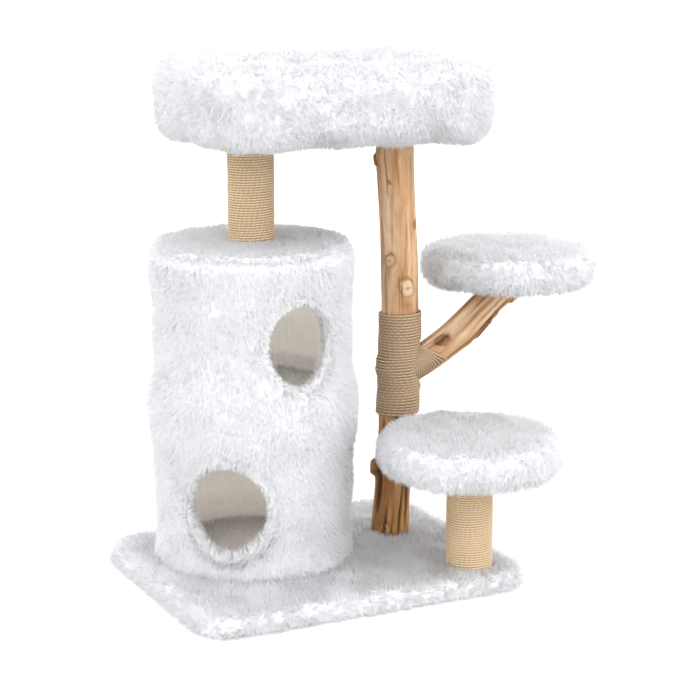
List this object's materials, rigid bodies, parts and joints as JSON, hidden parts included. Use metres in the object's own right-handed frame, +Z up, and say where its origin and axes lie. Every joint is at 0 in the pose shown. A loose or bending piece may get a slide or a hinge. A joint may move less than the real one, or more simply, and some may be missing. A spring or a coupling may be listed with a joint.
{
  "type": "cat tree",
  "caption": "Cat tree: plush base, round two-storey cat house, natural wood trunk with a side branch, round perches on a rope-wound post and the branch, and a padded top bed.",
  "frame": {"origin": "centre of the base's underside, on the floor", "axes": "+X along the base's long side, towards the side that the branch's perch stands out from; +Y from the front to the back; +Z up"},
  "size_m": [0.8763, 0.5853, 0.896],
  "materials": {
    "white_plush": "long shaggy white plush, matt",
    "ribbed_cloth": "ribbed grey-beige cloth",
    "plain_cloth": "plain non-woven cloth",
    "foam": "open foam",
    "chipboard": "raw chipboard",
    "hardboard": "smooth hardboard",
    "card_tube": "wound card tube",
    "softwood_plug": "turned softwood",
    "bare_wood": "barked and smoothed natural wood with knots",
    "sisal_rope": "fine twisted sisal rope",
    "jute_rope": "coarse twisted jute rope",
    "zinc_fastener": "zinc-plated"
  },
  "bodies": {
    "stand": {"base_board": "chipboard", "base_lining": "plain_cloth", "base_plush": "white_plush", "bed_board": "chipboard", "bed_floor_plush": "white_plush", "bed_post_foot_bolt": "zinc_fastener", "bed_post_foot_plug": "softwood_plug", "bed_post_foot_washer": "zinc_fastener", "bed_post_head_bolt": "zinc_fastener", "bed_post_head_plug": "softwood_plug", "bed_post_head_washer": "zinc_fastener", "bed_post_rope": "sisal_rope", "bed_post_tube": "card_tube", "bed_rim": "white_plush", "bed_under_plush": "white_plush", "branch": "bare_wood", "branch_bolt": "zinc_fastener", "branch_rope": "jute_rope", "branch_washer": "zinc_fastener", "high_perch_board": "chipboard", "high_perch_foam": "foam", "high_perch_head_bolt": "zinc_fastener", "high_perch_head_washer": "zinc_fastener", "high_perch_plush": "white_plush", "house_floor_board": "chipboard", "house_floor_plush": "white_plush", "house_floor_screw_1": "zinc_fastener", "house_floor_screw_2": "zinc_fastener", "house_floor_screw_3": "zinc_fastener", "house_lower_door_edging": "white_plush", "house_lower_lining": "ribbed_cloth", "house_lower_wall": "hardboard", "house_middle_board": "chipboard", "house_middle_plush": "white_plush", "house_plush_sleeve": "white_plush", "house_roof_board": "chipboard", "house_roof_plush": "white_plush", "house_upper_door_edging": "white_plush", "house_upper_lining": "ribbed_cloth", "house_upper_wall": "hardboard", "low_perch_board": "chipboard", "low_perch_foam": "foam", "low_perch_head_bolt": "zinc_fastener", "low_perch_head_washer": "zinc_fastener", "low_perch_plush": "white_plush", "perch_post_foot_bolt": "zinc_fastener", "perch_post_foot_plug": "softwood_plug", "perch_post_foot_washer": "zinc_fastener", "perch_post_head_plug": "softwood_plug", "perch_post_rope": "sisal_rope", "perch_post_tube": "card_tube", "trunk": "bare_wood", "trunk_foot_bolt": "zinc_fastener", "trunk_foot_washer": "zinc_fastener", "trunk_head_bolt": "zinc_fastener", "trunk_head_washer": "zinc_fastener", "trunk_rope": "jute_rope"},
    "cushion": {"bed_cushion": "white_plush"}
  },
  "joints": [
    {"name": "cushion_lift", "type": "slide", "parent": "stand", "child": "cushion", "axis": [0, 0, 1], "range_m": [0, 0.25]}
  ]
}
